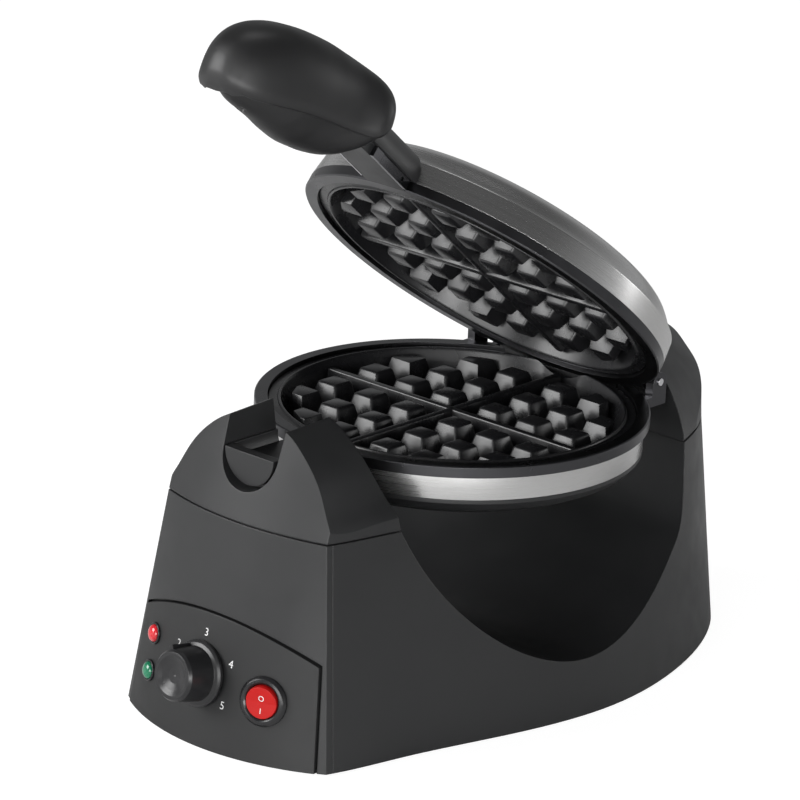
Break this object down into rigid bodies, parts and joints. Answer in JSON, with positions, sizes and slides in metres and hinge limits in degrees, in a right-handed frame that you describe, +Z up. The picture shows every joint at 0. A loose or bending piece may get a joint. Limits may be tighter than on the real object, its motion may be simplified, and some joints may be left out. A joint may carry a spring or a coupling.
{
  "type": "waffle maker",
  "caption": "Flip waffle maker: round hinged cooking plates in a steel-domed lid, hung between two towers of a sculpted black stand with dial and switch.",
  "frame": {"origin": "on the table, under the centre of the round cooking plates", "axes": "+Z up, -Y to the front with the controls, +X to the right side seen from the front"},
  "size_m": [0.2146, 0.3895, 0.3753],
  "materials": {
    "black_plastic": "fine matte moulded grain",
    "panel_plastic": "satin dark grey",
    "nonstick": "black non-stick coating, semi-gloss",
    "rim_ring": "dark satin",
    "steel": "satin brushed",
    "bright_steel": "polished",
    "bare_aluminium": "bright pressed sheet",
    "heater_steel": "heat darkened tube",
    "rubber": "soft",
    "soft_grip": "soft touch",
    "bearing_plastic": "smooth bearing plastic",
    "knob_plastic": "semi-gloss",
    "switch_plastic": "semi-gloss",
    "red_plastic": "glossy",
    "red_lens": "clear tinted",
    "green_lens": "clear tinted",
    "lamp_glass": "clear",
    "phenolic": "dark moulded",
    "screw_steel": "plated"
  },
  "bodies": {
    "stand": {"stand_housing": "black_plastic", "front_fascia": "black_plastic", "control_panel": "panel_plastic", "front_tower_cap": "black_plastic", "rear_tower_cap": "black_plastic", "bottom_cover": "black_plastic", "rubber_feet": "rubber", "bottom_screws": "screw_steel", "front_bearing_liner": "bearing_plastic", "rear_bearing_bush": "bearing_plastic", "thermostat_body": "phenolic", "switch_body": "switch_plastic", "red_lamp_lens": "red_lens", "green_lamp_lens": "green_lens", "neon_lamps": "lamp_glass", "terminal_block": "phenolic", "cord_inlet_bush": "rubber"},
    "lower_half": {"lower_rim_ring": "rim_ring", "lower_steel_band": "steel", "lower_heat_tray": "black_plastic", "lower_cooking_plate": "nonstick", "lower_heater": "heater_steel", "lower_reflector": "bare_aluminium", "lower_plate_screws": "screw_steel", "lower_thermal_switch": "bare_aluminium", "lower_front_arm": "black_plastic", "rear_trunnion": "black_plastic", "trunnion_clip": "bright_steel", "lid_hinge_pins": "bright_steel"},
    "lid": {"lid_rim_ring": "rim_ring", "lid_dome": "steel", "upper_cooking_plate": "nonstick", "upper_heater": "heater_steel", "lid_reflector": "bare_aluminium", "lid_reflector_studs": "screw_steel", "upper_thermal_switch": "bare_aluminium", "lid_front_arm": "black_plastic", "lid_arm_clip": "bright_steel", "handle_shell": "soft_grip", "handle_grip": "soft_grip", "handle_screws": "screw_steel"},
    "dial": {"dial_knob": "knob_plastic", "dial_shaft": "screw_steel"},
    "rocker": {"power_rocker": "red_plastic"}
  },
  "joints": [
    {"name": "flip", "type": "hinge", "parent": "stand", "child": "lower_half", "pos_m": [0, 0, 0.151], "axis": [0, 1, 0], "range_deg": [0, 90]},
    {"name": "lid_hinge", "type": "hinge", "parent": "lower_half", "child": "lid", "pos_m": [0, 0.092, 0.152], "axis": [1, 0, 0], "range_deg": [0, 40.5]},
    {"name": "dial_turn", "type": "hinge", "parent": "stand", "child": "dial", "pos_m": [-0.005, -0.17901, 0.0375], "axis": [-0.0362, -0.9829, 0.1805], "range_deg": [-152, 96]},
    {"name": "rocker_tilt", "type": "hinge", "parent": "stand", "child": "rocker", "pos_m": [0.03588, -0.17617, 0.03373], "axis": [0.9605, 0.2782, 0], "range_deg": [0, 14]}
  ]
}
